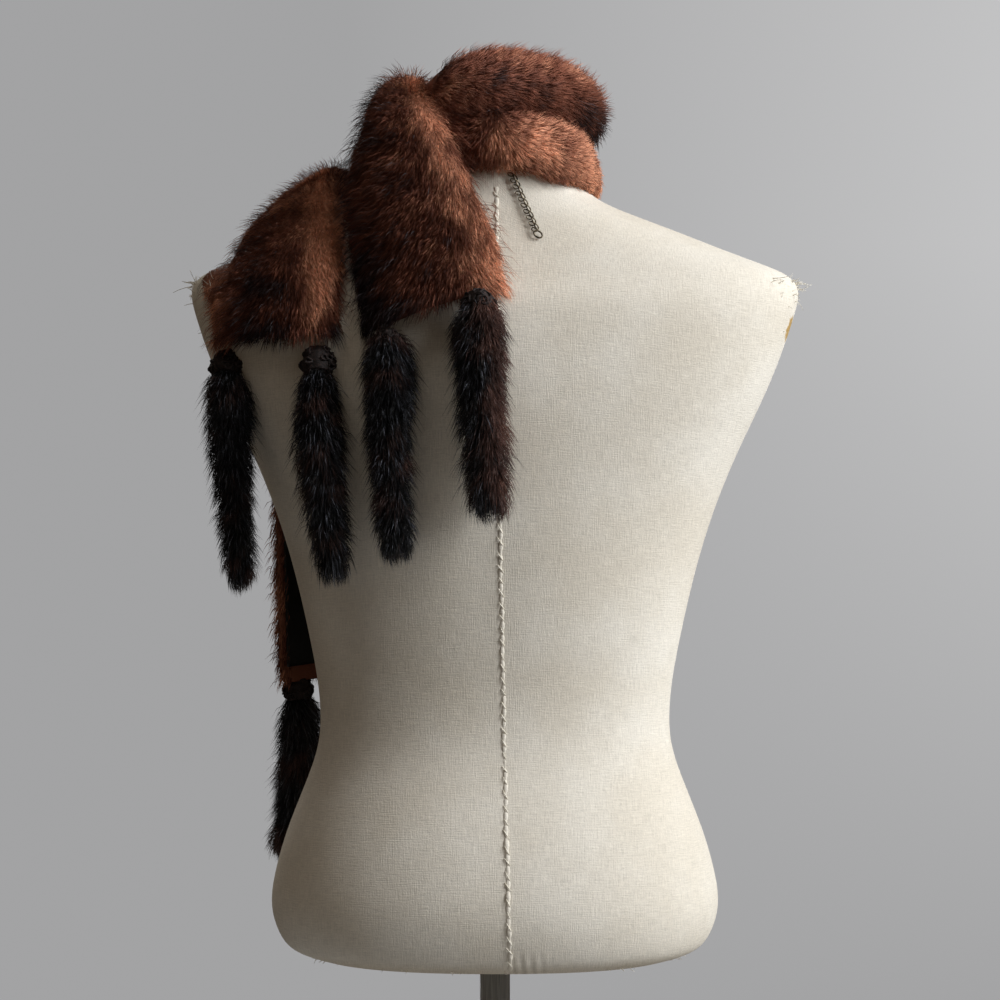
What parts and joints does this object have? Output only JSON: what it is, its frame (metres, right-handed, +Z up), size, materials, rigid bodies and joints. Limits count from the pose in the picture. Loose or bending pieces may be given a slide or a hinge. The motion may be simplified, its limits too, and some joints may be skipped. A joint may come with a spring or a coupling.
{
  "type": "fur collar stole on a dress form",
  "caption": "Fur collar stole of joined brown pelts with hanging tails, wound round the neck of a limbless linen dress form on a round-based steel stand, with a short chain at the nape.",
  "frame": {"origin": "centre of the underside of the stand's base, on the pole's axis", "axes": "+Z up along the pole, -Y towards the front of the dress form, +X towards its left shoulder"},
  "size_m": [0.432, 0.3, 0.8846],
  "materials": {
    "linen": "plain woven linen, matt",
    "steel": "brushed",
    "pelt": "dense glossy fur",
    "tail_fur": "long dark fur",
    "tail_gather": "knotted braid",
    "lining": "smooth satin",
    "chain_brass": "dark aged metal"
  },
  "bodies": {
    "root": {"back_end_inner": "pelt", "back_end_outer": "pelt", "chain_end_ring": "chain_brass", "chain_link_01": "chain_brass", "chain_link_02": "chain_brass", "chain_link_03": "chain_brass", "chain_link_04": "chain_brass", "chain_link_05": "chain_brass", "chain_link_06": "chain_brass", "chain_link_07": "chain_brass", "chain_link_08": "chain_brass", "chain_link_09": "chain_brass", "chain_link_10": "chain_brass", "chain_link_11": "chain_brass", "chain_link_12": "chain_brass", "chain_link_13": "chain_brass", "chain_link_14": "chain_brass", "chain_link_15": "chain_brass", "chain_link_16": "chain_brass", "chain_link_17": "chain_brass", "chain_link_18": "chain_brass", "chain_link_19": "chain_brass", "collar_back_lower": "pelt", "collar_back_upper": "pelt", "collar_front_lower": "pelt", "collar_front_upper": "pelt", "dress_form": "linen", "front_end_inner": "pelt", "front_end_lining": "lining", "front_end_outer": "pelt", "stand_base": "steel", "stand_pole": "steel", "tail_back_1": "tail_fur", "tail_back_2": "tail_fur", "tail_back_3": "tail_fur", "tail_back_4": "tail_fur", "tail_front_1": "tail_fur", "tail_front_2": "tail_fur", "tail_front_3": "tail_fur", "tail_front_4": "tail_fur", "tail_head_back_1": "tail_gather", "tail_head_back_2": "tail_gather", "tail_head_back_3": "tail_gather", "tail_head_back_4": "tail_gather", "tail_head_front_1": "tail_gather", "tail_head_front_2": "tail_gather", "tail_head_front_3": "tail_gather", "tail_head_front_4": "tail_gather"}
  },
  "joints": []
}
